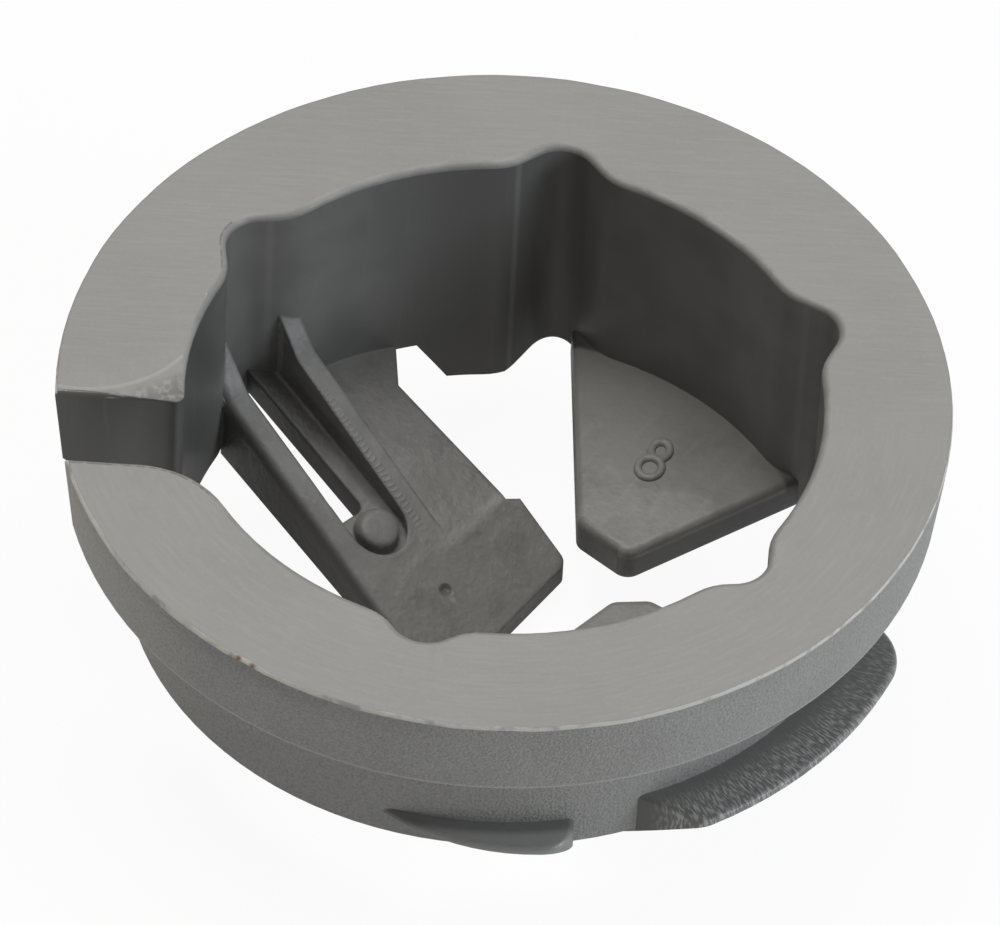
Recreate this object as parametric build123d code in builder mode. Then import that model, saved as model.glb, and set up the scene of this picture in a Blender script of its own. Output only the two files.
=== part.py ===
# Snap-in cable connector for a round knockout in a sheet-metal box.
# One moulded ring: a flange that stays outside the panel, a split neck that springs through the
# hole, snap lugs behind the panel, and a ribbed tongue with fixed ledges that grip the cable.
# Millimetres. The origin is the middle of the knockout on the panel's outer face, +Z out of the
# box, and the slit runs towards -X. Depths are measured down from the panel's outer face.
from build123d import *
from math import cos, radians, sin, sqrt, tan
import os

# Flange: its rim leans in a little towards the panel.
flange_radius = 13.0
flange_foot_radius = 12.72
flange_thickness = 2.95
flange_foot_chamfer = 0.15

# Neck: the cylinder that fills the hole, then a lead-in cone to a narrow end.
neck_radius = 10.9
neck_depth = 4.4
neck_end_radius = 9.4
body_depth = 6.05

# Opening: a round bore with square V flutes that let the ring flex.
bore_radius = 9.25
bore_edge_round = 0.2
back_flute_reach = 10.2
front_flute_reach = 9.95
flute_tip_round = 1.05
flute_mouth_round = 1.8
flute_pitch = 61.3
flute_opposite_slit = 20.5

# Slit: runs the full height and lets the ring close as it is pushed in.
slit_far_y = -0.88
slit_near_y = -3.48
slit_far_corner_round = 0.3
slit_near_corner_round = 3.0

# The top is pared down a little where the slit's far face meets the bore.
paring_centre = (-12.25, 2.8)
paring_radius = 3.45
paring_angle = 9.0

# Relief in the neck's end that frees the tongue's root. Its ends flare towards the rim.
relief_depth = 4.55
relief_half_angle = 28.0
relief_flare_angle = 6.0

# Tongue: a wedge across the bore, from the wall down to its gripping edge.
tongue_direction = -45.0
tongue_half_width = 2.9
tongue_root_depth = 1.57
tongue_shoulder_reach = 8.6
tongue_shoulder_depth = 2.5
tongue_knee_reach = 2.4
tongue_knee_depth = 5.85
tongue_tip_reach = -0.25
tongue_tip_depth = 7.2
tongue_tip_skew = 10.0
tongue_under_depth = 4.6
tongue_under_angle = 18.6
tongue_corner_round = 0.3
tongue_edge_round = 0.35
tongue_gusset = 0.86
tongue_gusset_length = 1.07
pad_overhang = 0.4

# The channel beside the left rib, the slot through its floor, and the pocket past the other rib.
left_rib_thickness = 0.8
right_rib_thickness = 0.65
channel_root_width = 2.0
channel_tip_width = 1.85
channel_floor_thickness = 0.85
slot_width = 1.2
slot_offset = 0.35
slot_end_reach = 4.75
slot_corner_round = 0.25
pocket_end_reach = 2.62
pocket_root_depth = 4.25
pocket_floor_angle = 12.3
pocket_ramp = 0.2
nub_radius = 0.66
nub_edge_round = 0.4
nub_reach = 3.95
nub_depth = 4.88
nub_height = 1.1

# Fixed ledges across from the tongue and beside it.
ledge_depth = 4.53
ledge_thickness = 1.1
ledge_edge_round = 0.25
ledge_corner_round = 0.5
side_ledge_reach = 3.07
side_ledge_facing = 50.5
side_ledge_x = 2.35
side_ledge_lean = 2.75
side_ledge_tip_width = 1.95
side_ledge_flank_angle = 34.6
front_ledge_reach = 3.19
front_ledge_facing = -42.7
front_ledge_half_width = 1.63
front_ledge_shoulder = 0.76
front_ledge_shoulder_half_width = 2.5
front_ledge_root_half_width = 4.3

# Snap lugs on the neck: a flat shoulder behind the panel, a short face, then a lead-in.
lug_face_height = 0.2
lug_lead_in_angle = 38.0
lug_edge_round = 0.18
long_lug_height = 1.7
long_lug_shoulder_depth = 3.0
long_lug_root_half_span = 27.5
long_lug_tip_half_span = 21.0
long_lug_start_round = 0.5
long_lug_end_round = 1.8
front_lug_angle = -38.5
back_lug_angle = 78.0

# The short lug is turned about an axis of its own, so it grows out of the neck at one end.
short_lug_height = 1.12
short_lug_shoulder_depth = 3.4
short_lug_axis_offset = 5.5
short_lug_axis_angle = -78.0
short_lug_end_x = 2.65
short_lug_corner_round = 1.0

# How far cutters run past the faces that they cut, and how far added pieces sink into the wall.
beyond = 2.0
sunk = 0.3


def polar(radius, angle):
    return (radius * cos(radians(angle)), radius * sin(radians(angle)))


def turned(angle, height=0.0):
    return Plane.XY.offset(height).rotated((0, 0, angle))


# The outer form: flange, neck and lead-in cone, turned about the axis.
with BuildPart() as blank:
    with BuildSketch(Plane.XZ):
        with BuildLine():
            Polyline(
                (0, flange_thickness),
                (flange_radius, flange_thickness),
                (flange_foot_radius, 0),
                (neck_radius, 0),
                (neck_radius, -neck_depth),
                (neck_end_radius, -body_depth),
                (0, -body_depth),
                close=True,
            )
        make_face()
    revolve(axis=Axis.Z)
    foot_edges = blank.edges().filter_by_position(Axis.Z, 0, 0)
    chamfer(foot_edges.sort_by(lambda edge: edge.length)[-1], flange_foot_chamfer)


# The section that all lugs share, in a plane through the axis that it is turned about. It runs
# in to inner_radius, inside the ring's wall.
def lug_section(tip_radius, shoulder_depth, inner_radius):
    face_end = shoulder_depth + lug_face_height
    lead_in_drop = (tip_radius - inner_radius) * tan(radians(lug_lead_in_angle))
    return [
        (inner_radius, -shoulder_depth),
        (tip_radius, -shoulder_depth),
        (tip_radius, -face_end),
        (inner_radius, -face_end - lead_in_drop),
    ]


# A long lug's ends lean in towards its middle, and its corners are round in plan.
def long_lug(angle):
    tip_radius = neck_radius + long_lug_height
    with BuildPart() as lug:
        with BuildSketch(Plane.XZ):
            with BuildLine():
                Polyline(*lug_section(tip_radius, long_lug_shoulder_depth, bore_radius), close=True)
            make_face()
        revolve(axis=Axis.Z)
        roots = [Vector(*polar(neck_radius, angle + side * long_lug_root_half_span)) for side in (-1, 1)]
        tips = [Vector(*polar(tip_radius, angle + side * long_lug_tip_half_span)) for side in (-1, 1)]
        with BuildSketch(Plane.XY.offset(-body_depth)) as plan:
            Circle(tip_radius)
            with BuildLine():
                Polyline(
                    (0, 0),
                    roots[0] * 1.5 - tips[0] * 0.5,
                    tips[0] * 2 - roots[0],
                    polar(2 * tip_radius, angle),
                    tips[1] * 2 - roots[1],
                    roots[1] * 1.5 - tips[1] * 0.5,
                    close=True,
                )
            make_face(mode=Mode.INTERSECT)
            for tip, corner_round in zip(tips, (long_lug_start_round, long_lug_end_round)):
                corner = plan.vertices().sort_by_distance(tip)[0]
                fillet(corner, corner_round)
        extrude(amount=body_depth, mode=Mode.INTERSECT)
        shoulder = lug.faces().sort_by(Axis.Z)[-1]
        outer_edges = shoulder.edges().filter_by(lambda edge: edge.center().length > neck_radius)
        fillet(outer_edges, lug_edge_round)
    return lug.part


short_lug_axis = polar(short_lug_axis_offset, short_lug_axis_angle)
short_lug_rim = neck_radius + short_lug_height - short_lug_axis_offset
with BuildPart() as short_lug:
    with BuildSketch(Plane.XZ.offset(-short_lug_axis[1])):
        section = lug_section(
            short_lug_rim,
            short_lug_shoulder_depth,
            bore_radius - short_lug_axis_offset,
        )
        with BuildLine():
            Polyline(*[(short_lug_axis[0] + radius, height) for radius, height in section], close=True)
        make_face()
    revolve(axis=Axis((*short_lug_axis, 0), (0, 0, 1)))
    with BuildSketch(Plane.XY.offset(-body_depth)) as short_plan:
        with Locations(short_lug_axis):
            Circle(short_lug_rim)
        with Locations((short_lug_end_x, short_lug_axis[1])):
            Rectangle(2 * flange_radius, flange_radius, align=(Align.MAX, Align.MAX), mode=Mode.INTERSECT)
        outer_corner = short_plan.vertices().sort_by(Axis.Y)[0]
        fillet(outer_corner, short_lug_corner_round)
    extrude(amount=body_depth, mode=Mode.INTERSECT)
    shoulder = short_lug.faces().sort_by(Axis.Z)[-1]
    inner_y = short_lug_axis[1] - (bore_radius - short_lug_axis_offset)
    fillet(shoulder.edges().filter_by(lambda edge: edge.center().Y < inner_y), lug_edge_round)

# The opening seen from above: the bore and its flutes, with soft corners.
flute_middle = (bore_radius + front_flute_reach) / 2
with BuildSketch() as opening_outline:
    Circle(bore_radius)
    for step in (-2, -1, 0, 1, 2):
        reach = front_flute_reach if step < 0 else back_flute_reach
        flute_apex = reach + flute_tip_round * (sqrt(2) - 1)
        with Locations(Location((0, 0, 0), (0, 0, flute_opposite_slit + step * flute_pitch))):
            Polygon(
                (flute_apex, 0),
                (flute_apex - beyond, beyond),
                (flute_apex - beyond, -beyond),
                align=None,
            )
    tips = opening_outline.vertices().filter_by(lambda corner: corner.center().length > flute_middle)
    fillet(tips, flute_tip_round)
    mouths = opening_outline.vertices().filter_by(lambda corner: corner.center().length < flute_middle)
    fillet(mouths, flute_mouth_round)
    with BuildLine():
        Polyline(
            (-flange_radius - beyond, slit_far_y),
            (-bore_radius + beyond, slit_far_y),
            (-bore_radius + beyond, slit_near_y),
            (-flange_radius - beyond, slit_near_y),
            close=True,
        )
    make_face()
    far_corner = opening_outline.vertices().sort_by_distance((-bore_radius, slit_far_y))[0]
    fillet(far_corner, slit_far_corner_round)
    near_corner = opening_outline.vertices().sort_by_distance((-bore_radius, slit_near_y))[0]
    fillet(near_corner, slit_near_corner_round)

with BuildPart() as opening:
    with BuildSketch(Plane.XY.offset(-body_depth - tongue_tip_depth)):
        add(opening_outline.sketch)
    extrude(amount=body_depth + tongue_tip_depth + flange_thickness + beyond)

# The relief is a wedge of the neck's end, wider at the rim than at its top.
tongue_root_angle = tongue_direction + 180
with BuildPart() as relief:
    for depth, half_angle in (
        (relief_depth, relief_half_angle),
        (body_depth, relief_half_angle + relief_flare_angle),
    ):
        with BuildSketch(Plane.XY.offset(-depth)):
            with BuildLine():
                Polyline(
                    (0, 0),
                    polar(flange_radius, tongue_root_angle - half_angle),
                    polar(flange_radius, tongue_root_angle + half_angle),
                    close=True,
                )
            make_face()
    loft(ruled=True)

# The side ledge: one edge runs along the slit's square, its end faces the cable, and its flank
# leans back to the wall.
end_facing = polar(1, side_ledge_facing)
side_ledge_near_tip = (
    side_ledge_x,
    (side_ledge_reach - side_ledge_x * end_facing[0]) / end_facing[1],
)
side_ledge_far_tip = tuple(
    Vector(*side_ledge_near_tip) + Vector(side_ledge_tip_width, 0).rotate(Axis.Z, side_ledge_facing - 90)
)[:2]
side_ledge_flank_end = tuple(
    Vector(*side_ledge_far_tip) + Vector(flange_radius, 0).rotate(Axis.Z, side_ledge_flank_angle)
)[:2]
with BuildPart() as side_ledge:
    with BuildSketch(Plane.XY.offset(-ledge_depth - ledge_thickness)) as side_plan:
        with BuildLine():
            Polyline(
                (side_ledge_x - flange_radius * tan(radians(side_ledge_lean)), flange_radius),
                side_ledge_near_tip,
                side_ledge_far_tip,
                side_ledge_flank_end,
                close=True,
            )
        make_face()
        fillet(side_plan.vertices().sort_by_distance((0, 0))[:2], ledge_corner_round)
    extrude(amount=ledge_thickness)
    fillet(side_ledge.edges().group_by(Axis.Z)[-1], ledge_edge_round)
    add(opening.part, mode=Mode.INTERSECT)

# The front ledge stands across the opening from the tongue.
with BuildPart() as front_ledge:
    with BuildSketch(turned(front_ledge_facing, -ledge_depth - ledge_thickness)) as front_plan:
        with BuildLine():
            Polyline(
                (flange_radius, -front_ledge_root_half_width),
                (front_ledge_reach + front_ledge_shoulder, -front_ledge_shoulder_half_width),
                (front_ledge_reach, -front_ledge_half_width),
                (front_ledge_reach, front_ledge_half_width),
                (front_ledge_reach + front_ledge_shoulder, front_ledge_shoulder_half_width),
                (flange_radius, front_ledge_root_half_width),
                close=True,
            )
        make_face()
        fillet(front_plan.vertices().sort_by(Axis.X)[:4], ledge_corner_round)
    extrude(amount=ledge_thickness)
    fillet(front_ledge.edges().group_by(Axis.Z)[-1], ledge_edge_round)
    add(opening.part, mode=Mode.INTERSECT)

# The tongue in its own frame: x runs from the wall towards the tip, y across it and z up. Its
# left side is the one next to the slit, at -y. A reach is measured from the axis to the wall.
tongue_side = Plane(
    origin=(0, 0, 0),
    x_dir=(*polar(1, tongue_direction), 0),
    z_dir=(*polar(1, tongue_direction - 90), 0),
)
tongue_from_above = turned(tongue_direction, -flange_radius)
tongue_wall_reach = back_flute_reach + sunk
tongue_root_slope = (tongue_shoulder_depth - tongue_root_depth) / (bore_radius - tongue_shoulder_reach)
tongue_tip_slope = (tongue_tip_depth - tongue_knee_depth) / (tongue_knee_reach - tongue_tip_reach)
tongue_under_slope = tan(radians(tongue_under_angle))
tip_skew_slope = tan(radians(tongue_tip_skew))
tongue_end_reach = tongue_tip_reach - tongue_half_width * tip_skew_slope


def root_top(reach):
    return -tongue_root_depth - tongue_root_slope * (bore_radius - reach)


def pad_top(reach):
    return -tongue_knee_depth - tongue_tip_slope * (tongue_knee_reach - reach)


def underside(reach):
    return -tongue_under_depth - tongue_under_slope * (bore_radius - reach)


def pocket_floor(reach):
    return -pocket_root_depth - tan(radians(pocket_floor_angle)) * (bore_radius - reach)


# The wedge: its side profile, trimmed to its outline from above.
pad_right = tongue_half_width + pad_overhang
gusset_right = tongue_half_width + tongue_gusset
gusset_reach = sqrt(bore_radius ** 2 - gusset_right ** 2)
with BuildPart() as wedge:
    with BuildSketch(tongue_side.offset(tongue_half_width)):
        with BuildLine():
            Polyline(
                (-tongue_wall_reach, root_top(tongue_wall_reach)),
                (-tongue_shoulder_reach, -tongue_shoulder_depth),
                (-tongue_knee_reach, -tongue_knee_depth),
                (-tongue_end_reach, pad_top(tongue_end_reach)),
                (-tongue_end_reach, underside(tongue_end_reach)),
                (-tongue_wall_reach, underside(tongue_wall_reach)),
                close=True,
            )
        make_face()
    extrude(amount=-tongue_half_width - gusset_right)
    left_face = wedge.faces().filter_by(tongue_side).sort_by(Axis((0, 0, 0), tongue_side.z_dir))[-1]
    top_edges = wedge.faces().filter_by(lambda face: face.normal_at().Z > 0.5).edges()
    fillet([edge for edge in left_face.edges() if edge in top_edges], tongue_edge_round)
    with BuildSketch(tongue_from_above) as wedge_plan:
        with BuildLine():
            Polyline(
                (-tongue_wall_reach, -tongue_half_width),
                (-tongue_tip_reach + tongue_half_width * tip_skew_slope, -tongue_half_width),
                (-tongue_tip_reach - pad_right * tip_skew_slope, pad_right),
                (-pocket_end_reach + pocket_ramp, pad_right),
                (-pocket_end_reach, tongue_half_width),
                (-gusset_reach + tongue_gusset_length, tongue_half_width),
                (-gusset_reach, gusset_right),
                (-tongue_wall_reach, gusset_right),
                close=True,
            )
        make_face()
        fillet(wedge_plan.vertices().sort_by(Axis.X)[-2:], tongue_corner_round)
    extrude(amount=flange_radius, mode=Mode.INTERSECT)

# The channel between the ribs narrows away from the wall and ends in a round.
channel_middle = -tongue_half_width + left_rib_thickness + channel_root_width / 2
with BuildPart() as channel:
    with BuildSketch(tongue_side):
        with BuildLine():
            Polyline(
                (-flange_radius, underside(flange_radius) + channel_floor_thickness),
                (0, underside(0) + channel_floor_thickness),
                (0, 0),
                (-flange_radius, 0),
                close=True,
            )
        make_face()
    extrude(amount=flange_radius, both=True)
    with BuildSketch(tongue_from_above):
        with BuildLine():
            Polyline(
                (-flange_radius, channel_middle - channel_root_width / 2),
                (-bore_radius, channel_middle - channel_root_width / 2),
                (-nub_reach, channel_middle - channel_tip_width / 2),
                (-nub_reach, channel_middle + channel_tip_width / 2),
                (-bore_radius, channel_middle + channel_root_width / 2),
                (-flange_radius, channel_middle + channel_root_width / 2),
                close=True,
            )
        make_face()
        with Locations((-nub_reach, channel_middle)):
            Circle(channel_tip_width / 2)
    extrude(amount=flange_radius, mode=Mode.INTERSECT)

# The pocket has a floor of its own slope, so the rib beside it fades out where the two meet.
rib_right = channel_middle + channel_root_width / 2 + right_rib_thickness
with BuildPart() as pocket:
    with BuildSketch(tongue_side.offset(-rib_right)):
        with BuildLine():
            Polyline(
                (-flange_radius, pocket_floor(flange_radius)),
                (0, pocket_floor(0)),
                (0, 0),
                (-flange_radius, 0),
                close=True,
            )
        make_face()
    extrude(amount=-flange_radius)

# The nub is a round button with a domed top, at the end of the channel.
with BuildPart() as nub:
    with BuildSketch(turned(tongue_direction, -nub_depth - nub_height)):
        with Locations((-nub_reach, channel_middle)):
            Circle(nub_radius)
    extrude(amount=nub_height)
    fillet(nub.edges().group_by(Axis.Z)[-1], nub_edge_round)

with BuildPart() as tongue:
    add(wedge.part)
    add(channel.part, mode=Mode.SUBTRACT)
    add(pocket.part, mode=Mode.SUBTRACT)
    with BuildSketch(tongue_from_above) as slot_plan:
        with Locations((-slot_end_reach - flange_radius / 2, channel_middle - slot_offset)):
            Rectangle(flange_radius, slot_width)
        fillet(slot_plan.vertices().sort_by(Axis.X)[-2:], slot_corner_round)
    extrude(amount=flange_radius, mode=Mode.SUBTRACT)
    add(nub.part)
    add(opening.part, mode=Mode.INTERSECT)

# The top is pared away outside a circle that stands on the flange behind the slit.
with BuildPart() as paring:
    with BuildSketch(Plane.XZ.offset(-paring_centre[1])):
        with BuildLine():
            Polyline(
                (paring_centre[0] + paring_radius, flange_thickness),
                (
                    paring_centre[0] + flange_radius,
                    flange_thickness - (flange_radius - paring_radius) * tan(radians(paring_angle)),
                ),
                (paring_centre[0] + flange_radius, flange_thickness + beyond),
                (paring_centre[0] + paring_radius, flange_thickness + beyond),
                close=True,
            )
        make_face()
    revolve(axis=Axis((*paring_centre, 0), (0, 0, 1)))
    slit_middle_y = (slit_far_y + slit_near_y) / 2
    with BuildSketch():
        with Locations((paring_centre[0] - beyond, slit_middle_y)):
            Rectangle(
                paring_radius + 2 * beyond,
                paring_centre[1] - slit_middle_y,
                align=(Align.MIN, Align.MIN),
            )
    extrude(amount=flange_thickness + beyond, mode=Mode.INTERSECT)

with BuildPart() as snap_in_connector:
    add(blank.part)
    add(long_lug(front_lug_angle))
    add(long_lug(back_lug_angle))
    add(short_lug.part)
    add(opening.part, mode=Mode.SUBTRACT)
    add(relief.part, mode=Mode.SUBTRACT)
    flange_top = snap_in_connector.faces().sort_by(Axis.Z)[-1]
    inner_edges = flange_top.edges().filter_by(lambda edge: edge.length < flange_radius)
    fillet(inner_edges, bore_edge_round)
    add(paring.part, mode=Mode.SUBTRACT)
    add(side_ledge.part)
    add(front_ledge.part)
    add(tongue.part)

os.makedirs("parts", exist_ok=True)
snap_in_connector.part.label = "snap_in_connector"
export_step(snap_in_connector.part, "parts/snap_in_connector.step")
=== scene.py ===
# %% [markdown]
# A snap-in cable connector is one small moulding of grey plastic: a flange that stays outside a
# steel box, a split neck that springs through the hole, and a ribbed tongue that grips the cable.
# The solid is already built to size, so this notebook gives it its looks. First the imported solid
# is loaded as a fixed frame, and everything else is placed from it.

# %% Load the solid
from math import cos, hypot, radians, sin
import bmesh
import bpy
from mathutils import Matrix, Vector, noise


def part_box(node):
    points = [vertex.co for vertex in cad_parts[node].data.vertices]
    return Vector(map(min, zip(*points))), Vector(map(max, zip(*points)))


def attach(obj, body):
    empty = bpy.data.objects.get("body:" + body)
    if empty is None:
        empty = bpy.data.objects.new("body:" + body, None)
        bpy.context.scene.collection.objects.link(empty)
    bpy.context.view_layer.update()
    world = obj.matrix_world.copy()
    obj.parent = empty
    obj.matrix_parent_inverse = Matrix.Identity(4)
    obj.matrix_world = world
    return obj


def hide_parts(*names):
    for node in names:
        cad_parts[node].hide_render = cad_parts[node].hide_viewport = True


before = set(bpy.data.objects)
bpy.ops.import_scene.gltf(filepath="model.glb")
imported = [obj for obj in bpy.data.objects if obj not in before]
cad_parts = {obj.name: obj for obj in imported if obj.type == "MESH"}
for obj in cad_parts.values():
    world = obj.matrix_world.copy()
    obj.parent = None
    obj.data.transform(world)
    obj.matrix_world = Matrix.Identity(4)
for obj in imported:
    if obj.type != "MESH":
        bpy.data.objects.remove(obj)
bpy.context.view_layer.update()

mm = 0.001
solid_name = "snap_in_connector"
low, high = (Vector(corner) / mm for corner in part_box(solid_name))
print("The solid's box in millimetres:", [round(v, 2) for v in low], [round(v, 2) for v in high])

# %% [markdown]
# A few heights and radii of the solid decide where one finish ends and the next begins. They are
# written here once, in millimetres, and the flange's rim and top are read from the frame.

# %% Name the places on the ring
rim_radius = high.x
flange_top = high.z
neck_radius = 10.9
bore_radius = 9.25
edge_round = 0.2
shoulder_top = -2.9
ledge_top = -4.53
wall_lean = 0.2
print("Rim radius", round(rim_radius, 2), "and flange top", round(flange_top, 2))

# %% [markdown]
# The camera comes next, because every finish is judged through it. The picture was taken with a
# long lens from a distance, which keeps the ring's far side almost as large as its near side. A
# camera like that is set by its direction, its distance and where the ring sits in the frame.

# %% Set up the camera
picture_width = 1000
elevation = radians(46.987)
roll = radians(-3.09)
distance = 346.64 * mm
sensor_width = 36.0
lens_length = 432.0
flange_in_picture = (4.75, -69.18)


def sight_axes():
    forward = Vector((0, cos(elevation), -sin(elevation)))
    right = Matrix.Rotation(roll, 3, forward) @ Vector((1, 0, 0))
    return right, right.cross(forward), forward


def make_camera():
    right, up, forward = sight_axes()
    pixel = distance * sensor_width / (lens_length * picture_width)
    aim = Vector((0, 0, flange_top * mm))
    aim -= right * flange_in_picture[0] * pixel
    aim += up * flange_in_picture[1] * pixel
    data = bpy.data.cameras.new("picture_camera")
    data.sensor_width = sensor_width
    data.lens = lens_length
    data.clip_start = distance / 20
    camera = bpy.data.objects.new("picture_camera", data)
    bpy.context.scene.collection.objects.link(camera)
    axes = Matrix((right, up, -forward)).transposed().to_4x4()
    camera.matrix_world = Matrix.Translation(aim - forward * distance) @ axes
    bpy.context.scene.camera = camera
    return camera


camera = make_camera()
print("Camera at", [round(v / mm, 1) for v in camera.matrix_world.translation], "mm")

# %% [markdown]
# The loaded solid is made of loose triangles, and each is shaded flat. A copy can have its
# corners joined, so that round walls shade smoothly and real edges stay crisp. Joining is done on
# a copy because the frame itself has to stay as it is. An edge counts as sharp where its two
# faces turn by more than 32 degrees.

# %% Copy the ring and join its corners
sharp_turn = radians(32)
weld_distance = 0.0005


def joined_copy(node):
    shape = bmesh.new()
    shape.from_mesh(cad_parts[node].data)
    bmesh.ops.remove_doubles(shape, verts=shape.verts, dist=weld_distance * mm)
    bmesh.ops.recalc_face_normals(shape, faces=shape.faces)
    return shape


ring = joined_copy(solid_name)
print("Corners:", len(ring.verts), "faces:", len(ring.faces))
print("Open edges:", sum(1 for edge in ring.edges if not edge.is_manifold))

# %% [markdown]
# On the real part the flange's outer edge was trimmed by a blade, so a narrow, slightly wavy
# facet runs round it with small steps. The blade ran roughest at the front and towards the slit.
# The rim has too few corners for that, so its edges are cut shorter first. A plane then cuts a
# second line just below the top, and both lines are moved by noise: the upper one inwards, the
# lower one up and down.

# %% Trim the flange's outer edge
trim_height, trim_zone = 0.12, 0.15
trim_inset, trim_lower_inset = 0.05, 0.01
trim_wave, trim_wave_rate = 0.35, 0.9
trim_step_length, trim_steps = 1.6, 4
trim_cuts = 4
trim_calm_share, trim_lower_share = 0.4, 0.5
trim_rough_way = Vector((-0.6, -0.8, 0))
trim_rough_share = 1.1
rim_reach, side_reach = 0.02, 0.3
side_tilt, least_outward = 0.2, 0.1


def on_rim(corner):
    place = corner.co / mm
    radius = hypot(place.x, place.y)
    return radius > rim_radius - rim_reach and place.z > flange_top - trim_zone


def on_side(face):
    radius = face.calc_center_median().xy.length
    upright = abs(face.normal.z) < side_tilt and face.normal.xy.length > least_outward
    return upright and radius > (rim_radius - side_reach) * mm


def blade_wander(place, outward):
    """How far the blade wandered at a place, and how roughly it ran there."""
    rough = max(0, outward.dot(trim_rough_way)) ** 2 * trim_rough_share
    stepped = round(noise.noise(place / trim_step_length) * trim_steps) / trim_steps
    wave = trim_wave * noise.noise(place * trim_wave_rate) + stepped
    return wave * (trim_calm_share + rough) + rough, rough


def trim_rim(shape):
    short_rim_light = [edge for edge in shape.edges if all(on_rim(corner) for corner in edge.verts)]
    bmesh.ops.subdivide_edges(shape, edges=short_rim_light, cuts=trim_cuts)
    side = [face for face in shape.faces if on_side(face)]
    borders = {edge for face in side for edge in face.edges}
    corners = {corner for edge in borders for corner in edge.verts}
    cut = bmesh.ops.bisect_plane(
        shape,
        geom=side + list(borders) + list(corners),
        plane_co=(0, 0, (flange_top - trim_height) * mm),
        plane_no=(0, 0, 1),
    )
    lower = {part for part in cut["geom_cut"] if isinstance(part, bmesh.types.BMVert)}
    upper = {corner for corner in shape.verts if on_rim(corner) and corner not in lower}
    for corner in upper | lower:
        outward = Vector((corner.co.x, corner.co.y, 0)).normalized()
        wave, rough = blade_wander(corner.co / mm, outward)
        if corner in upper:
            corner.co -= outward * trim_inset * (1 + wave) * mm
        else:
            corner.co.z += trim_height * (wave - rough) * trim_lower_share * mm
            corner.co -= outward * trim_lower_inset * mm
    return upper, lower


trim_upper, trim_lower = trim_rim(ring)
print("Trimmed corners:", len(trim_upper), "above and", len(trim_lower), "below")

# %% [markdown]
# The round nub at the end of the tongue's channel is pressed nearly level with the skin round it.
# The solid has it as a plain button, so the part of it that stands above the tongue's slope is
# lowered here. The tongue runs 45 degrees clockwise from +X, and its slope is one straight line.

# %% Press the nub nearly level
tongue_turn = -45.0
tongue_along = Vector((cos(radians(tongue_turn)), sin(radians(tongue_turn)), 0))
tongue_across = Vector((-tongue_along.y, tongue_along.x, 0))
nub_along, nub_across = -3.95, -1.1
nub_reach = 0.68
nub_share = 0.25
knee_along, knee_depth, knee_slope = -2.4, 5.85, 0.54


def press_nub(shape):
    pressed = 0
    for corner in shape.verts:
        place = corner.co / mm
        along, across = place.dot(tongue_along), place.dot(tongue_across)
        skin = -knee_depth - knee_slope * (along - knee_along)
        if hypot(along - nub_along, across - nub_across) < nub_reach and place.z > skin:
            corner.co.z = (skin + (place.z - skin) * nub_share) * mm
            pressed += 1
    return pressed


print("Corners pressed down:", press_nub(ring))

# %% [markdown]
# The ring is one plastic, but its surfaces don't look alike: the mould was eroded on the outside,
# polished inside, and the top was rubbed flat. Each face goes to one of nine finishes, chosen
# from where the face lies and which way it looks. That is quicker and truer than painting masks.
# The tongue is told from the ledges by its place along its own direction.

# %% Sort the faces by finish
finish_names = [
    "rubbed_top",
    "trimmed_edge",
    "grained_side",
    "worn_corner",
    "pared_corner",
    "smooth_wall",
    "tongue_skin",
    "ledge_skin",
    "glossy_lug",
]
tongue_half_width, tongue_tip = 3.4, 1.5
top_layer = 0.5
level, cut_level, pared_level = 0.9999, 0.98, 0.97
paring_reach, slit_reach, slit_facing = 1.0, 0.6, 0.9
lug_step, bore_step, inward_facing = 0.02, 0.1, -0.2


def is_slit_side(face, place):
    return place.x < -bore_radius + slit_reach and abs(face.normal.y) > slit_facing


def is_tongue(place):
    along, across = place.dot(tongue_along), place.dot(tongue_across)
    return abs(across) < tongue_half_width and along < tongue_tip


def finish_of(face, trimmed):
    place = face.calc_center_median() / mm
    radius = hypot(place.x, place.y)
    facing_out = face.normal.dot(Vector((place.x, place.y, 0)).normalized())
    near_top = place.z > flange_top - top_layer
    behind_slit = place.x < -bore_radius + paring_reach
    if all(corner in trimmed for corner in face.verts) and face.normal.z < cut_level:
        return "trimmed_edge"
    if near_top and face.normal.z > level:
        return "rubbed_top"
    if near_top and face.normal.z > pared_level and behind_slit:
        return "pared_corner"
    if place.z > flange_top - edge_round and radius < rim_radius - side_reach:
        return "worn_corner"
    if place.z < shoulder_top and radius > neck_radius + lug_step:
        return "glossy_lug"
    if radius > bore_radius and facing_out > inward_facing and not is_slit_side(face, place):
        return "grained_side"
    if abs(face.normal.z) < wall_lean and radius > bore_radius - bore_step:
        return "smooth_wall"
    return "tongue_skin" if is_tongue(place) else "ledge_skin"


def sort_faces(shape, trimmed):
    counts = dict.fromkeys(finish_names, 0)
    for face in shape.faces:
        name = finish_of(face, trimmed)
        face.material_index = finish_names.index(name)
        face.smooth = True
        counts[name] += 1
    for edge in shape.edges:
        if len(edge.link_faces) == 2:
            edge.smooth = edge.calc_face_angle() < sharp_turn
    return counts


print("Faces of each finish:", sort_faces(ring, trim_upper | trim_lower))

# %% [markdown]
# A sorted shape becomes a piece by getting a mesh and an object of its own, its finishes and its
# body. A Weighted Normal modifier then lets each large flat face keep its own direction, so the
# roundings beside it don't bend the light across it.

# %% Get ready to make pieces
def make_piece(shape, name, finishes):
    mesh = bpy.data.meshes.new(name)
    shape.to_mesh(mesh)
    shape.free()
    for finish in finishes:
        mesh.materials.append(finish)
    piece = bpy.data.objects.new(name, mesh)
    bpy.context.scene.collection.objects.link(piece)
    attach(piece, "root")
    return piece


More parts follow.
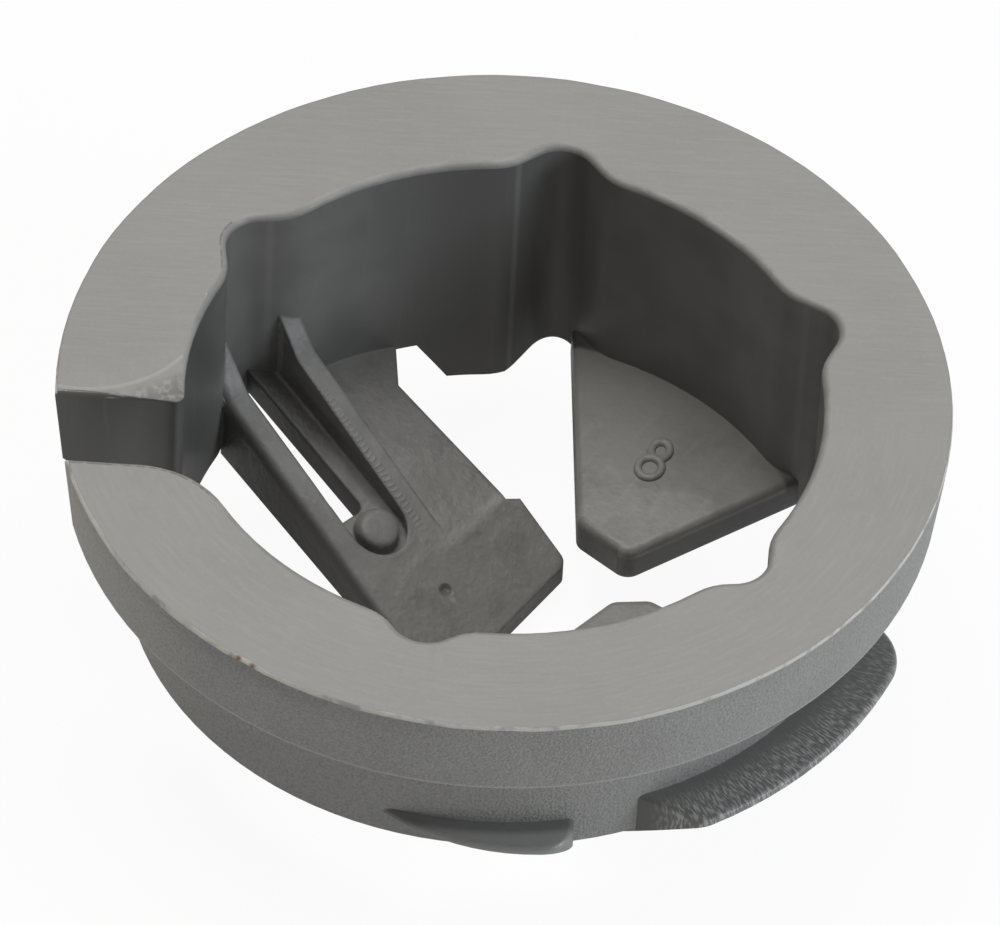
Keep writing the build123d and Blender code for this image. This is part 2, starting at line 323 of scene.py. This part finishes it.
def keep_flats_flat(piece):
    weighting = piece.modifiers.new("flat faces lead", "WEIGHTED_NORMAL")
    weighting.mode = "FACE_AREA"
    weighting.weight = 100
    weighting.keep_sharp = True


print("Pieces ride on the root body, because nothing on the part moves")

# %% [markdown]
# Every finish starts from the same grey plastic and is lighter or darker in places, so each shade
# is written as so much of one colour. Cut and rubbed plastic looks a little warmer than the rest.

# %% Mix the plastic
plastic_colour = (0.335, 0.328, 0.312)
plastic_ior = 1.49
edge_softness = 0.07
edge_samples = 6


def shaded(amount):
    return tuple(channel * amount for channel in plastic_colour)


def warm(amount):
    red, green, blue = shaded(amount)
    return red * 1.02, green, blue * 0.94


print("Plastic colour", plastic_colour, "edges softened by", edge_softness, "mm")

# %% [markdown]
# Nodes are slow to lay out one by one, and hard to read afterwards. A small class keeps the work
# readable: it lays out the shader, softens every edge with a Bevel node, and offers grain, tint
# and relief in millimetres. All patterns read Object coordinates, so they stay fixed to the
# plastic.

# %% Write the plastic's building blocks
class Plastic:
    def __init__(self, name, shade=1.0, roughness=0.5, softness=edge_softness):
        self.material = bpy.data.materials.new(name)
        self.material.use_nodes = True
        self.nodes = self.material.node_tree.nodes
        self.links = self.material.node_tree.links
        self.shader = self.nodes["Principled BSDF"]
        self.colour = shaded(shade)
        self.shader.inputs["Base Color"].default_value = (*self.colour, 1)
        self.shader.inputs["Roughness"].default_value = roughness
        self.shader.inputs["IOR"].default_value = plastic_ior
        self.place = self.nodes.new("ShaderNodeTexCoord").outputs["Object"]
        bevel = self.nodes.new("ShaderNodeBevel")
        bevel.samples = edge_samples
        bevel.inputs["Radius"].default_value = softness * mm
        self.normal = bevel.outputs["Normal"]
        self.links.new(self.normal, self.shader.inputs["Normal"])

    def mapped(self, centre=(0, 0, 0), turn=(0, 0, 0), stretch=(1, 1, 1), place=None):
        """Moves, turns and stretches a pattern, in millimetres and degrees."""
        mapping = self.nodes.new("ShaderNodeMapping")
        mapping.vector_type = "TEXTURE"
        mapping.inputs["Location"].default_value = [value * mm for value in centre]
        mapping.inputs["Rotation"].default_value = [radians(value) for value in turn]
        mapping.inputs["Scale"].default_value = stretch
        self.links.new(place or self.place, mapping.inputs["Vector"])
        return mapping.outputs["Vector"]

    def maths(self, operation, *values):
        node = self.nodes.new("ShaderNodeMath")
        node.operation = operation
        for socket, value in zip(node.inputs, values):
            if isinstance(value, (int, float)):
                socket.default_value = value
            else:
                self.links.new(value, socket)
        return node.outputs[0]

    def times(self, first, second):
        return self.maths("MULTIPLY", first, second)

    def plus(self, first, second):
        return self.maths("ADD", first, second)

    def minus(self, first, second):
        return self.maths("SUBTRACT", first, second)

    def away_from(self, middle, value):
        """Metres from a middle that is given in millimetres, to either side."""
        return self.maths("ABSOLUTE", self.minus(value, middle * mm))

    def grain(self, size, detail=3, place=None):
        """Noise with spots of about this size in millimetres."""
        texture = self.nodes.new("ShaderNodeTexNoise")
        texture.inputs["Scale"].default_value = 1 / (size * mm)
        texture.inputs["Detail"].default_value = detail
        self.links.new(place or self.place, texture.inputs["Vector"])
        return texture.outputs["Fac"]

    def coordinate(self, axis, place=None):
        split = self.nodes.new("ShaderNodeSeparateXYZ")
        self.links.new(place or self.place, split.inputs[0])
        return split.outputs[axis]

    def distance_to(self, point):
        """Metres from a point that is given in millimetres."""
        away = self.nodes.new("ShaderNodeVectorMath")
        away.operation = "DISTANCE"
        self.links.new(self.place, away.inputs[0])
        away.inputs[1].default_value = [value * mm for value in point]
        return away.outputs["Value"]

    def radius_of(self, x, y):
        return self.maths("SQRT", self.plus(self.times(x, x), self.times(y, y)))

    def radius_about(self, centre=(0, 0, 0)):
        """Metres from an upright line through a centre that is given in millimetres."""
        place = self.mapped(centre=centre)
        return self.radius_of(self.coordinate("X", place), self.coordinate("Y", place))

    def around(self, along):
        """Coordinates that follow the ring: outwards, along its circle and up."""
        x, y, z = (self.coordinate(axis) for axis in "XYZ")
        turn = self.times(self.maths("ARCTAN2", y, x), along * mm)
        join = self.nodes.new("ShaderNodeCombineXYZ")
        for socket, value in zip(join.inputs, (self.radius_of(x, y), turn, z)):
            self.links.new(value, socket)
        return join.outputs[0]

    def between(self, value, start, end):
        """Goes smoothly from 0 at start to 1 at end."""
        ramp = self.nodes.new("ShaderNodeMapRange")
        ramp.interpolation_type = "SMOOTHSTEP"
        self.links.new(value, ramp.inputs["Value"])
        ramp.inputs["From Min"].default_value = start
        ramp.inputs["From Max"].default_value = end
        return ramp.outputs["Result"]

    def between_mm(self, value, start, end):
        return self.between(value, start * mm, end * mm)

    def tint(self, factor, colour, share=1.0):
        """Mixes a share of another colour in where factor is high."""
        if share < 1:
            factor = self.times(factor, share)
        mix = self.nodes.new("ShaderNodeMix")
        mix.data_type = "RGBA"
        self.links.new(factor, mix.inputs["Factor"])
        socket = self.shader.inputs["Base Color"]
        if socket.is_linked:
            self.links.new(socket.links[0].from_socket, mix.inputs["A"])
        else:
            mix.inputs["A"].default_value = (*self.colour, 1)
        mix.inputs["B"].default_value = (*colour, 1)
        self.links.new(mix.outputs["Result"], socket)

    def relief(self, height, depth):
        """Raises the surface by depth in millimetres where height is 1."""
        bump = self.nodes.new("ShaderNodeBump")
        bump.inputs["Strength"].default_value = 1.0
        bump.inputs["Distance"].default_value = depth * mm
        self.links.new(height, bump.inputs["Height"])
        self.links.new(self.normal, bump.inputs["Normal"])
        self.normal = bump.outputs["Normal"]
        self.links.new(self.normal, self.shader.inputs["Normal"])


finishes = []


def keep_finish(plastic):
    finishes.append(plastic.material)
    print("Finish", len(finishes), plastic.material.name, "of", len(plastic.nodes), "nodes")


print("Finishes still to make:", len(finish_names))

# %% [markdown]
# The top was rubbed flat after moulding. Its scratches are very fine and much longer than wide.
# Behind the slit they run straight across, and on the near side they follow the ring. Noise that
# is stretched along circles about the ring's middle gives the second kind.

# %% Rub the flange's top
scratch_width, scratch_stretch = 0.1, 12
straight_from, straight_to = -2.0, 1.5


def rubbed_top():
    top = Plastic("rubbed top", roughness=0.46)
    arcs = top.around(along=rim_radius / scratch_stretch)
    straight = top.mapped(stretch=(scratch_stretch, 1, 1))
    near = top.grain(scratch_width, place=arcs)
    far = top.grain(scratch_width, place=straight)
    share = top.between_mm(top.coordinate("Y"), straight_from, straight_to)
    scratches = top.plus(top.times(near, top.minus(1, share)), top.times(far, share))
    cloud = top.grain(4.5)
    speckle = top.grain(0.12)
    top.tint(top.between(cloud, 0.3, 0.75), shaded(0.94))
    top.tint(top.between(scratches, 0.5, 0.72), shaded(1.13), share=0.35)
    top.tint(top.between(scratches, 0.48, 0.3), shaded(0.88), share=0.3)
    top.tint(top.between(speckle, 0.5, 0.7), shaded(1.12), share=0.25)
    top.relief(scratches, 0.006)
    return top


keep_finish(rubbed_top())

# %% [markdown]
# The trimmed facet is paler than the rest, because cut plastic scatters more light. Towards the
# left it gets extra pale patches, a painted highlight where the facet faces away from the lamps. In
# two places the blade left a speck of rust, which is drawn as a small warm stain at its own spot.

# %% Trim the edge
left_highlight_from, left_highlight_full = -1, -7
rust_specks = [(-7.1, -10.76), (-6.7, -11.04)]
rust_depth, rust_edge, rust_core = 0.1, 0.16, 0.04
rust_colour = (0.30, 0.17, 0.08)


def trimmed_edge():
    edge = Plastic("trimmed edge", shade=2.0, roughness=0.6, softness=0.03)
    patch = edge.grain(0.7, detail=4)
    edge.tint(edge.between(patch, 0.5, 0.35), warm(2.0))
    edge.tint(edge.between(patch, 0.52, 0.65), warm(1.4))
    # Pale patches towards the left are a painted highlight where the facet faces away from the
    # lamps.
    rough = edge.between_mm(edge.coordinate("X"), left_highlight_from, left_highlight_full)
    edge.tint(edge.times(rough, edge.between(patch, 0.6, 0.42)), warm(2.25))
    for x, y in rust_specks:
        away = edge.distance_to((x, y, flange_top - rust_depth))
        edge.tint(edge.between_mm(away, rust_edge, rust_core), rust_colour)
    edge.relief(edge.grain(0.15), 0.02)
    return edge


keep_finish(trimmed_edge())

# %% [markdown]
# The outside of the mould was eroded by sparks, which leaves a fine sandy grain on the flange's
# side and the neck. Two sizes of noise make it: one for the grain and one for slow unevenness.
# The neck is painted a little lighter as painted light, with painted shadow just under the flange,
# and the side grows paler towards the slit. A thin painted highlight marks the flange's lower edge.

# %% Grain the outside
neck_light_from, neck_light_full = 0.05, -0.1
flange_shadow_from, flange_shadow_full = 0, -0.05
flange_shadow_end, flange_shadow_last = -1.6, -0.2
pale_from, pale_full = -7.5, -12
foot_highlight_height, foot_highlight_reach, foot_highlight_core = 0.08, 0.18, 0.06
foot_highlight_radius, foot_highlight_fade = 12.3, 0.2


def grained_side():
    side = Plastic("grained side", shade=1.0, roughness=0.6)
    sand = side.grain(0.085, detail=2)
    slow = side.grain(2.4)
    height = side.coordinate("Z")
    side.tint(side.between(slow, 0.35, 0.7), shaded(0.93))
    # The neck below the flange is painted a little lighter, as painted light.
    side.tint(side.between_mm(height, neck_light_from, neck_light_full), shaded(1.03))
    # A band of painted shadow darkens the neck just under the flange.
    shadow_below_flange = side.between_mm(height, flange_shadow_from, flange_shadow_full)
    shadow_above_lugs = side.between_mm(height, flange_shadow_end, flange_shadow_last)
    side.tint(side.times(shadow_below_flange, shadow_above_lugs), shaded(0.72), share=0.8)
    side.tint(side.between_mm(side.coordinate("X"), pale_from, pale_full), warm(1.25))
    side.tint(side.between(sand, 0.5, 0.66), shaded(1.4), share=0.3)
    side.tint(side.between(sand, 0.5, 0.34), shaded(0.62), share=0.38)
    # A thin painted highlight runs along the flange's lower edge.
    from_line = side.away_from(foot_highlight_height, height)
    foot_highlight = side.between_mm(from_line, foot_highlight_reach, foot_highlight_core)
    radius = side.radius_about()
    outside = side.between_mm(radius, foot_highlight_radius, foot_highlight_radius + foot_highlight_fade)
    side.tint(side.times(foot_highlight, outside), shaded(1.45))
    side.relief(sand, 0.05)
    return side


keep_finish(grained_side())

# %% [markdown]
# The round corners at the top of the bore are rubbed pale by handling, unevenly. Along the slit
# the corner is darker, with a few light scratches.

# %% Wear the bore's corners
slit_far_side = -0.88
slit_dark_edge, slit_dark_core = 0.5, 0.25
slit_fade = 0.4


def worn_corner():
    corner = Plastic("worn corner", shade=0.84, roughness=0.5)
    speckle = corner.grain(0.14, detail=4)
    patch = corner.grain(1.3)
    corner.tint(corner.between(patch, 0.42, 0.65), shaded(1.03))
    from_slit = corner.away_from(slit_far_side, corner.coordinate("Y"))
    in_slit = corner.between_mm(from_slit, slit_dark_edge, slit_dark_core)
    x = corner.coordinate("X")
    left_of_bore = corner.between_mm(x, -bore_radius, -bore_radius - slit_fade)
    dark = corner.times(in_slit, left_of_bore)
    corner.tint(dark, shaded(0.4))
    scratch = corner.grain(0.16, place=corner.mapped(stretch=(6, 1, 1)))
    corner.tint(corner.times(corner.between(scratch, 0.56, 0.68), dark), shaded(1.3))
    corner.relief(speckle, 0.012)
    return corner


keep_finish(worn_corner())

# %% [markdown]
# Behind the slit the top was pared away with a knife. The cut starts at a fine raised line, painted
# pale as a painted highlight, runs down to the slit and leaves the plastic rough and speckled with
# pale chips, and it grows darker further down. Distance from the middle of the knife's arc tells
# how far down the cut a point lies.

# %% Pare the corner behind the slit
paring_centre = (-12.25, 2.8, 0)
paring_radius = 3.45
paring_wander = 0.9
dark_from, dark_full = 0.15, 0.9
chips_from, chips_full = 0.1, 0.5
paring_line, highlight_edge, highlight_core = 0.05, 0.1, 0.02


def pared_corner():
    cut = Plastic("pared corner", shade=1.0, roughness=0.6, softness=0.12)
    chips = cut.grain(0.2, detail=5)
    clouds = cut.grain(0.6)
    down = cut.minus(cut.radius_about(paring_centre), paring_radius * mm)
    uneven = cut.plus(down, cut.times(cut.minus(clouds, 0.5), paring_wander * mm))
    cut.tint(cut.between_mm(uneven, dark_from, dark_full), shaded(0.58))
    chipped = cut.between_mm(down, chips_from, chips_full)
    cut.tint(cut.times(cut.between(chips, 0.44, 0.68), chipped), shaded(1.2), share=0.7)
    # The fine raised line at the top of the cut is painted pale, a painted highlight.
    line = cut.between_mm(cut.away_from(paring_line, down), highlight_edge, highlight_core)
    cut.tint(line, shaded(1.3), share=0.7)
    cut.relief(chips, 0.03)
    return cut


keep_finish(pared_corner())

# %% [markdown]
# The walls of the bore and of the slit come from polished steel, so they are smooth and a little
# glossy, with faint upright drag lines from the part sliding off its core. As painted shade they
# start from a darker copy of the plastic, and are darker still in the bore's left part, at the
# slit's left end and in the middle of the far wall, where least light falls. Pale and dark upright
# lines are painted beside the flutes. Each line is given by its angle round the ring, its reach in
# millimetres and its shade.

# %% Polish the inner walls
# The walls start from a darker copy of the plastic, as painted shade.
wall_shade = 0.68
shade_middle, middle_shade_edge, middle_shade_core = -0.5, 5, 1
left_shade_from, left_shade_full = -7.8, -9.0
bore_shade_edge, bore_shade_core = 9.9, 9.5
slit_shade_from, slit_shade_full = -10.3, -11.8
flute_line_core = 0.2
flute_lines = [
    (89.6, 0.12, 1.5),
    (79.1, 0.35, 0.4),
    (137.2, 0.12, 1.4),
    (149.3, 0.2, 0.5),
    (21.9, 0.3, 0.4),
    (26.5, 0.12, 1.3),
]


def smooth_wall():
    wall = Plastic("smooth wall", shade=wall_shade, roughness=0.34)
    drag = wall.grain(0.3, place=wall.mapped(stretch=(1, 1, 14)))
    slow = wall.grain(2.2)
    x = wall.coordinate("X")
    wall.tint(wall.between(slow, 0.35, 0.7), shaded(0.56))
    # Painted shade in the far wall's middle, the bore's left part and the slit's left end.
    from_middle = wall.away_from(shade_middle, x)
    wall.tint(wall.between_mm(from_middle, middle_shade_edge, middle_shade_core), shaded(0.46))
    left = wall.between_mm(x, left_shade_from, left_shade_full)
    wall.tint(left, shaded(0.48), share=0.85)
    in_bore = wall.between_mm(wall.radius_about(), bore_shade_edge, bore_shade_core)
    wall.tint(wall.times(left, in_bore), shaded(0.32))
    wall.tint(wall.between_mm(x, slit_shade_from, slit_shade_full), shaded(0.34))
    wall.tint(wall.between(drag, 0.6, 0.8), shaded(0.8), share=0.2)
    turn = wall.coordinate("Y", wall.around(along=bore_radius))
    for angle, reach, shade in flute_lines:
        from_line = wall.away_from(radians(angle) * bore_radius, turn)
        line = wall.between_mm(from_line, reach, flute_line_core * reach)
        wall.tint(line, shaded(wall_shade * shade), share=0.35)
    wall.relief(drag, 0.005)
    return wall


keep_finish(smooth_wall())

# %% [markdown]
# The tongue and the ledges filled last in the mould, so their skin is mottled. The tongue's
# channel, darkest at its root, and its left flank are painted darker as painted shade. Its patterns
# use a Mapping node turned to the tongue's own direction, so that a place along or across it is one
# number. A band rises from nought to one, and falls again as fast before its end.

# %% Shade the tongue
knee_band = (-5.2, -4.0, -2.5)
channel_left, channel_right = -2.1, -0.12
channel_shade_from, channel_shade_full = -4.4, -5.2
root_shade_from, root_shade_full = -5.8, -7.8
tongue_left = -2.9
flank_shade_from, flank_shade_full = tongue_left + 0.3, tongue_left + 0.05


def band(skin, value, start, full, end):
    rises = skin.between_mm(value, start, full)
    return skin.times(rises, skin.between_mm(value, end, end - full + start))


def shade_tongue(skin, along, across):
    skin.tint(band(skin, along, *knee_band), shaded(0.5), share=0.5)
    # Painted shade in the channel, deepest at its root, and on the left flank.
    channel = band(skin, across, channel_left - 0.05, channel_left + 0.1, channel_right)
    channel = skin.times(channel, skin.between_mm(along, channel_shade_from, channel_shade_full))
    skin.tint(channel, shaded(0.42), share=0.75)
    root = skin.times(channel, skin.between_mm(along, root_shade_from, root_shade_full))
    skin.tint(root, shaded(0.22))
    skin.tint(skin.between_mm(across, flank_shade_from, flank_shade_full), shaded(0.27))


print("The channel lies", channel_left, "to", channel_right, "mm across the tongue")

# %% [markdown]
# A file cleared the flash from the tongue's right-hand rib and left short strokes across it. A
# sine along the rib gives the strokes their even pitch, and slow noise lets them wander a little,
# as strokes made by hand do.

# %% File the tongue's rib
tick_pitch, tick_length, tick_wander = 0.16, 0.32, 9.0
tick_soft_edge = 0.08
tick_band = (-8.3, -7.5, -2.9)


def file_strokes(skin, along, across):
    turns = skin.times(along, radians(360) / (tick_pitch * mm))
    turns = skin.plus(turns, skin.times(skin.grain(0.5), tick_wander))
    ticks = skin.between(skin.maths("SINE", turns), -0.3, 0.9)
    on_rib = (channel_right, channel_right + tick_soft_edge, channel_right + tick_length)
    ticks = skin.times(ticks, band(skin, across, *on_rib))
    return skin.times(ticks, band(skin, along, *tick_band))


print("Strokes are", tick_pitch, "mm apart and", tick_length, "mm long")

# %% [markdown]
# The gripping pad begins at a faint crease, painted pale along its length as a painted highlight,
# and carries one small pit, painted dark inside as painted shade, with a pale lip. Both are so fine
# that tint and relief are enough, each at its own place. With them the tongue's skin is complete.

# %% Finish the tongue's pad
pad_start, pad_start_skew = -2.42, 0.11
crease_highlight_edge, crease_highlight_core = 0.26, 0.03
crease_highlight_from, crease_highlight_full = -0.8, 1.2
pad_pit, pit_lip = (-1.42, 0.65, -6.33), (-1.18, 0.42, -6.50)
pit_radius, pit_depth = 0.15, 0.14


def highlight_pad_crease(skin, along, across):
    skewed = skin.plus(along, skin.times(across, pad_start_skew))
    from_crease = skin.away_from(pad_start, skewed)
    crease = skin.between_mm(from_crease, crease_highlight_edge, crease_highlight_core)
    crease = skin.times(crease, skin.between_mm(across, crease_highlight_from, crease_highlight_full))
    # A painted highlight along the crease.
    skin.tint(crease, shaded(1.05), share=0.5)


def pit_pad(skin):
    pit = skin.between_mm(skin.distance_to(pad_pit), 1.7 * pit_radius, 0.3 * pit_radius)
    skin.relief(pit, -pit_depth)
    # The pit is painted dark inside, as painted shade.
    skin.tint(pit, shaded(0.3), share=0.6)
    lip = skin.between_mm(skin.distance_to(pit_lip), pit_radius, 0.2 * pit_radius)
    skin.tint(lip, shaded(1.1), share=0.6)


def tongue_skin():
    skin = Plastic("tongue skin", shade=0.67, roughness=0.46, softness=0.18)
    own = skin.mapped(turn=(0, 0, tongue_turn))
    along, across = skin.coordinate("X", own), skin.coordinate("Y", own)
    blotch = skin.grain(1.1, detail=4)
    pore = skin.grain(0.2)
    skin.tint(skin.between(blotch, 0.4, 0.7), shaded(0.56))
    skin.tint(skin.between(pore, 0.5, 0.7), shaded(0.85), share=0.35)
    shade_tongue(skin, along, across)
    ticks = file_strokes(skin, along, across)
    skin.tint(ticks, shaded(0.9), share=0.5)
    highlight_pad_crease(skin, along, across)
    skin.relief(pore, 0.025)
    skin.relief(ticks, 0.02)
    skin.relief(blotch, 0.09)
    pit_pad(skin)
    return skin


keep_finish(tongue_skin())

# %% [markdown]
# The ledges have the same skin without strokes: soft clouds where the plastic cooled unevenly,
# and faint flow lines that run away from the wall. Painted shade darkens them against the wall and
# round their lower edge, and the side ledge is painted paler towards its back as painted light.

# %% Cloud the ledges
flow_turn = 60
back_light_from, back_light_full = 4.5, 8.5
wall_shadow = 0.2
ledge_edge_shade_from, ledge_edge_shade_full = ledge_top - 0.25, ledge_top - 0.4


def ledge_skin():
    skin = Plastic("ledge skin", shade=0.84, roughness=0.42, softness=0.12)
    blotch = skin.grain(1.5, detail=4)
    pore = skin.grain(0.2)
    flow = skin.grain(0.3, place=skin.mapped(turn=(0, 0, flow_turn), stretch=(6, 1, 4)))
    skin.tint(skin.between(blotch, 0.4, 0.7), shaded(0.7))
    skin.tint(skin.between(flow, 0.52, 0.75), shaded(1.02), share=0.4)
    # Painted light makes the side ledge paler towards its back.
    back_light = skin.between_mm(skin.coordinate("Y"), back_light_from, back_light_full)
    skin.tint(back_light, shaded(1.12), share=0.8)
    radius = skin.radius_about()
    # Painted shade against the wall.
    skin.tint(skin.between_mm(radius, bore_radius, bore_radius + wall_shadow), shaded(0.36))
    # Painted shade round the lower edge.
    height = skin.coordinate("Z")
    skin.tint(skin.between_mm(height, ledge_edge_shade_from, ledge_edge_shade_full), shaded(0.42))
    skin.relief(pore, 0.016)
    skin.relief(blotch, 0.07)
    return skin


keep_finish(ledge_skin())

# %% [markdown]
# The snap lugs slide over the hole's edge. As painted shade under the flange they start from a dark
# copy of the plastic, and are painted lighter towards their rim as painted light. The long lugs are
# the glossiest faces, with fine streaks that run outwards; their bright streaks are painted
# highlights, strongest at the near end. The short one is duller and is painted paler towards its
# rim as painted light.

# %% Polish the lugs
lug_streak_size, lug_streak_stretch = 0.055, 5
lug_light_from, lug_light_fade = 11.1, 0.9
lug_far_end, lug_near_end = -3.0, -8.0
glint_near_share, glint_far_share = 0.65, 0.35
short_lug_end, short_lug_fade = 3.2, 1
short_lug_light_from, short_lug_light_full = 11.15, 11.5


def glossy_lug():
    # A dark copy of the plastic, as painted shade under the flange.
    lug = Plastic("glossy lug", shade=0.54, roughness=0.27)
    stretch = (lug_streak_stretch, 1, lug_streak_stretch)
    outwards = lug.mapped(stretch=stretch, place=lug.around(along=neck_radius))
    streak = lug.grain(lug_streak_size, detail=4, place=outwards)
    pore = lug.grain(0.14)
    x, radius = lug.coordinate("X"), lug.radius_about()
    rim_light = lug.between_mm(radius, lug_light_from, lug_light_from + lug_light_fade)
    long_one = lug.between_mm(x, short_lug_end, short_lug_end + short_lug_fade)
    near_end = lug.between_mm(lug.coordinate("Y"), lug_far_end, lug_near_end)
    glint_strength = lug.plus(lug.times(near_end, glint_near_share), glint_far_share)
    glint_zone = lug.times(lug.times(rim_light, long_one), glint_strength)
    # Painted light on the lugs' outer part, and painted highlights in the bright streaks.
    lug.tint(rim_light, shaded(0.85), share=0.45)
    lug.tint(lug.times(lug.between(streak, 0.44, 0.64), glint_zone), shaded(1.7), share=0.85)
    lug.tint(lug.times(lug.between(streak, 0.48, 0.3), glint_zone), shaded(0.5), share=0.4)
    # Painted light on the short lug's rim.
    short_rim_light = lug.between_mm(radius, short_lug_light_from, short_lug_light_full)
    lug.tint(lug.times(short_rim_light, lug.minus(1, long_one)), shaded(1.0))
    lug.relief(pore, 0.018)
    lug.relief(lug.times(streak, long_one), 0.02)
    return lug


keep_finish(glossy_lug())

# %% [markdown]
# The sorted ring now gets its nine finishes, in the order of their names. Its piece takes the
# place of the plain solid, so only the dressed one is seen.

# %% Dress the ring
connector = make_piece(ring, "connector_ring", finishes)
keep_flats_flat(connector)
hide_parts(solid_name)
print("Ring piece:", len(connector.data.polygons), "faces,", len(finishes), "finishes")

# %% [markdown]
# The mould carries a small raised digit on the side ledge, an 8, to tell its cavities apart. A
# digit like this is cut into the steel with a round cutter, so its strokes are half round. Each
# loop is a small circle spun once round the loop's centre and then stretched to an oval. Half of
# it lies below the ledge, which leaves a low round bead. The faces of a finished loop are tagged,
# so that the next loop's moves leave them where they are.

# %% Raise the digit on the ledge
digit_turn = 76.0
digit_bead, digit_bead_sides = 0.125, 12
digit_spin_steps = 40
digit_loops = [((4.7, 5.05), 0.27, 0.36), ((4.4, 4.34), 0.35, 0.41)]


def digit_loop(shape, centre, half_width, half_height):
    circle = bmesh.ops.create_circle(shape, segments=digit_bead_sides, radius=digit_bead * mm)
    loop = circle["verts"]
    bmesh.ops.rotate(shape, verts=loop, cent=(0, 0, 0), matrix=Matrix.Rotation(radians(90), 3, "X"))
    bmesh.ops.translate(shape, verts=loop, vec=(half_width * mm, 0, 0))
    edges = [edge for edge in shape.edges if edge.verts[0] in loop and edge.verts[1] in loop]
    bmesh.ops.spin(
        shape,
        geom=loop + edges,
        cent=(0, 0, 0),
        axis=(0, 0, 1),
        angle=radians(360),
        steps=digit_spin_steps,
        use_merge=True,
    )
    bead = {corner for face in shape.faces if not face.tag for corner in face.verts}
    bmesh.ops.scale(shape, verts=list(bead), vec=(1, half_height / half_width, 1))
    turn = Matrix.Rotation(radians(digit_turn - 90), 3, "Z")
    bmesh.ops.rotate(shape, verts=list(bead), cent=(0, 0, 0), matrix=turn)
    place = (centre[0] * mm, centre[1] * mm, ledge_top * mm)
    bmesh.ops.translate(shape, verts=list(bead), vec=place)
    for face in shape.faces:
        face.tag = True


def make_digit():
    shape = bmesh.new()
    for loop in digit_loops:
        digit_loop(shape, *loop)
    bmesh.ops.remove_doubles(shape, verts=shape.verts, dist=weld_distance * mm)
    bmesh.ops.recalc_face_normals(shape, faces=shape.faces)
    for face in shape.faces:
        face.smooth = True
    return make_piece(shape, "ledge_digit", [finishes[finish_names.index("ledge_skin")]])


digit = make_digit()
print("Digit:", len(digit.data.polygons), "faces")

# %% [markdown]
# The ring stands over a plain pale floor. The picture shows pure white round it, so the camera
# sees the floor mostly as white, with a little of its real shading left for the shadow. The
# light that bounces from it to the ring is that of a plain pale grey floor.

# %% Lay the floor
floor_gap = 0.05
floor_size = 1200.0
floor_bounce = 0.85
floor_shading = 0.06
floor_paper = 0.95


def matt_coat(tree, brightness):
    coat = tree.nodes.new("ShaderNodeBsdfDiffuse")
    coat.inputs["Color"].default_value = (brightness, brightness, brightness, 1)
    return coat.outputs[0]


def white_to_camera(tree, shade_socket, bounce_socket, share):
    path = tree.nodes.new("ShaderNodeLightPath")
    white = tree.nodes.new("ShaderNodeEmission")
    white.inputs["Color"].default_value = (1, 1, 1, 1)
    seen = tree.nodes.new("ShaderNodeMixShader")
    seen.inputs["Fac"].default_value = share
    tree.links.new(white.outputs[0], seen.inputs[1])
    tree.links.new(shade_socket, seen.inputs[2])
    chosen = tree.nodes.new("ShaderNodeMixShader")
    tree.links.new(path.outputs["Is Camera Ray"], chosen.inputs["Fac"])
    tree.links.new(bounce_socket, chosen.inputs[1])
    tree.links.new(seen.outputs[0], chosen.inputs[2])
    return chosen.outputs[0]


def make_floor():
    paper = bpy.data.materials.new("pale floor")
    paper.use_nodes = True
    tree = paper.node_tree
    tree.nodes.remove(tree.nodes["Principled BSDF"])
    seen, bounce = matt_coat(tree, floor_paper), matt_coat(tree, floor_bounce)
    look = white_to_camera(tree, seen, bounce, floor_shading)
    tree.links.new(look, tree.nodes["Material Output"].inputs["Surface"])
    shape = bmesh.new()
    bmesh.ops.create_grid(shape, x_segments=1, y_segments=1, size=floor_size / 2 * mm)
    bmesh.ops.translate(shape, verts=shape.verts, vec=(0, 0, (low.z - floor_gap) * mm))
    mesh = bpy.data.meshes.new("floor")
    shape.to_mesh(mesh)
    shape.free()
    mesh.materials.append(paper)
    floor = bpy.data.objects.new("floor", mesh)
    bpy.context.scene.collection.objects.link(floor)
    return floor


floor = make_floor()
print("Floor", floor_gap, "mm below the tongue's tip")

# %% [markdown]
# A soft studio light is a large lamp close to a small part. One hangs above and a little behind,
# so the top is bright and the walls that face the camera stay dark. A weak cool one stands low on
# the right and gives the inner wall opposite its sheen. The world fills the rest with a little
# even light, and looks white only to the camera.

# %% Light the ring
def soft_lamp(name, place, size, power, colour):
    data = bpy.data.lights.new(name, "AREA")
    data.shape = "DISK"
    data.size = size * mm
    data.energy = power
    data.color = colour
    lamp = bpy.data.objects.new(name, data)
    bpy.context.scene.collection.objects.link(lamp)
    lamp.location = [value * mm for value in place]
    lamp.rotation_euler = (-Vector(lamp.location)).to_track_quat("-Z", "Y").to_euler()
    return lamp


overhead_place, overhead_size, overhead_power = (-25, 70, 250), 220, 0.46
side_place, side_size, side_power = (170, -60, 90), 90, 0.17
warm_white, cool_white = (1.0, 0.985, 0.96), (0.85, 0.92, 1.0)
world_fill = 0.15
soft_lamp("overhead", overhead_place, overhead_size, overhead_power, warm_white)
soft_lamp("cool side", side_place, side_size, side_power, cool_white)


def make_world():
    world = bpy.data.worlds.new("studio")
    world.use_nodes = True
    tree = world.node_tree
    fill = tree.nodes["Background"]
    fill.inputs["Color"].default_value = (1, 1, 1, 1)
    fill.inputs["Strength"].default_value = world_fill
    path = tree.nodes.new("ShaderNodeLightPath")
    white = tree.nodes.new("ShaderNodeBackground")
    white.inputs["Color"].default_value = (1, 1, 1, 1)
    mix = tree.nodes.new("ShaderNodeMixShader")
    tree.links.new(path.outputs["Is Camera Ray"], mix.inputs["Fac"])
    tree.links.new(fill.outputs[0], mix.inputs[1])
    tree.links.new(white.outputs[0], mix.inputs[2])
    tree.links.new(mix.outputs[0], tree.nodes["World Output"].inputs["Surface"])
    bpy.context.scene.world = world


make_world()
bpy.context.scene.view_settings.view_transform = "Standard"
print("World fill", world_fill)
